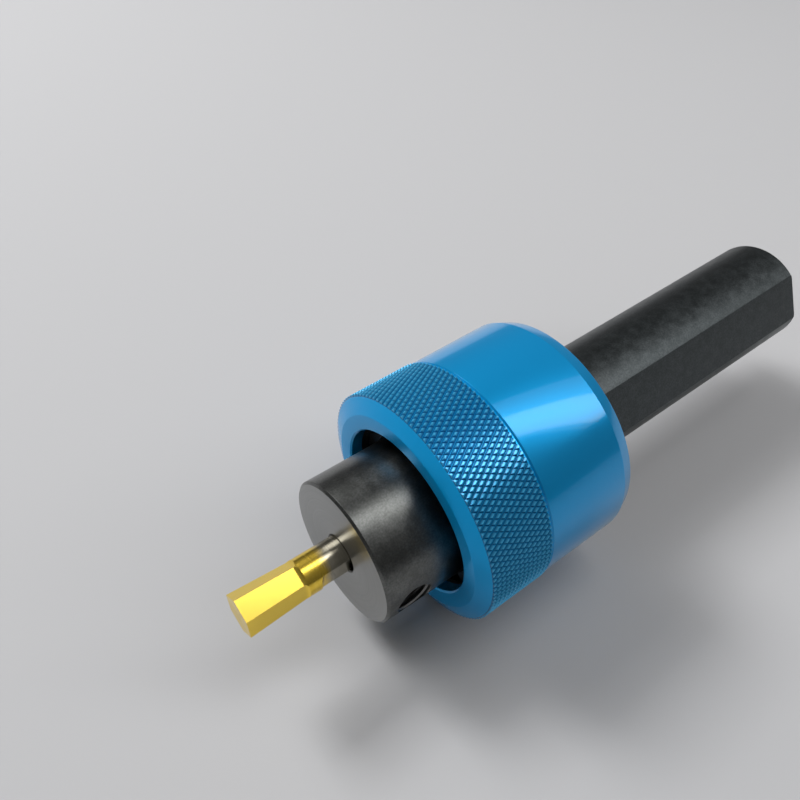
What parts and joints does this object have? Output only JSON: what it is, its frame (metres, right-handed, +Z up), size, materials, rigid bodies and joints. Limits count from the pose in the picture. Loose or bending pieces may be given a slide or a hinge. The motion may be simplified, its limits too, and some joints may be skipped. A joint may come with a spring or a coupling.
{
  "type": "rotary broach holder",
  "caption": "Rotary broach holder: round shank with a flat, blue sleeve and knurled ring, and a spindle on tilted bearings that holds a gold hexagonal broach.",
  "frame": {"origin": "centre of the shoulder where the shank leaves the head, on the shank's axis", "axes": "+X along the shank's axis from the shoulder to the shank's end, with the broach towards -X; +Z up as the holder lies in the picture; the spindle line falls 1.5 degrees below the axis towards +X and meets it at the broach's tip"},
  "size_m": [0.1538, 0.052, 0.052],
  "materials": {
    "black_oxide_steel": "black oxide, satin",
    "blue_anodised": "turned and anodised light blue",
    "bearing_steel": "ground bearing steel",
    "pressed_cage": "pressed sheet steel",
    "coated_broach": "titanium nitride coating that fades to ground steel on the shank",
    "slip_plastic": "plain"
  },
  "bodies": {
    "holder": {"shank_body": "black_oxide_steel", "housing_sleeve": "blue_anodised", "bearing_retainer": "black_oxide_steel", "front_outer_ring": "bearing_steel", "rear_outer_ring": "bearing_steel", "thrust_rear_plate": "bearing_steel"},
    "spindle_unit": {"spindle": "black_oxide_steel", "front_inner_ring": "bearing_steel", "rear_inner_ring": "bearing_steel", "spindle_nut": "black_oxide_steel", "thrust_front_plate": "bearing_steel"},
    "front_ball_row": {"front_balls": "bearing_steel", "front_cage": "pressed_cage"},
    "rear_ball_row": {"rear_balls": "bearing_steel", "rear_cage": "pressed_cage"},
    "roller_row": {"thrust_rollers": "bearing_steel", "thrust_cage": "pressed_cage"},
    "clamp_screw": {"set_screw": "black_oxide_steel"},
    "tool": {"broach": "coated_broach"},
    "washer": {"slip_washer": "slip_plastic"},
    "ring": {"knurled_ring": "blue_anodised"}
  },
  "joints": [
    {"name": "spindle_spin", "type": "hinge", "parent": "holder", "child": "spindle_unit", "pos_m": [-0.0777, 0, 0], "axis": [0.9997, 0, -0.0262], "continuous": true},
    {"name": "front_balls_roll", "type": "hinge", "parent": "holder", "child": "front_ball_row", "pos_m": [-0.0777, 0, 0], "axis": [0.9997, 0, -0.0262], "continuous": true},
    {"name": "rear_balls_roll", "type": "hinge", "parent": "holder", "child": "rear_ball_row", "pos_m": [-0.0777, 0, 0], "axis": [0.9997, 0, -0.0262], "continuous": true},
    {"name": "rollers_roll", "type": "hinge", "parent": "holder", "child": "roller_row", "pos_m": [-0.0777, 0, 0], "axis": [0.9997, 0, -0.0262], "continuous": true},
    {"name": "ring_travel", "type": "slide", "parent": "holder", "child": "washer", "axis": [-1, 0, 0], "range_m": [0, 0.0126]},
    {"name": "ring_turn", "type": "hinge", "parent": "washer", "child": "ring", "pos_m": [-0.03, 0, 0], "axis": [-1, 0, 0], "range_deg": [0, 2268]},
    {"name": "screw_travel", "type": "slide", "parent": "spindle_unit", "child": "clamp_screw", "axis": [-0.0041, -0.9877, -0.1564], "range_m": [0, 0.004]},
    {"name": "broach_slide", "type": "slide", "parent": "spindle_unit", "child": "tool", "axis": [-0.9997, 0, 0.0262], "range_m": [0, 0.0218]}
  ],
  "couplings": [
    {"joint": "front_balls_roll", "follows": "spindle_spin", "ratio": 0.41825},
    {"joint": "rear_balls_roll", "follows": "spindle_spin", "ratio": 0.41825},
    {"joint": "rollers_roll", "follows": "spindle_spin", "ratio": 0.5},
    {"joint": "ring_travel", "follows": "ring_turn", "m_per_rad": 0.00031831}
  ]
}
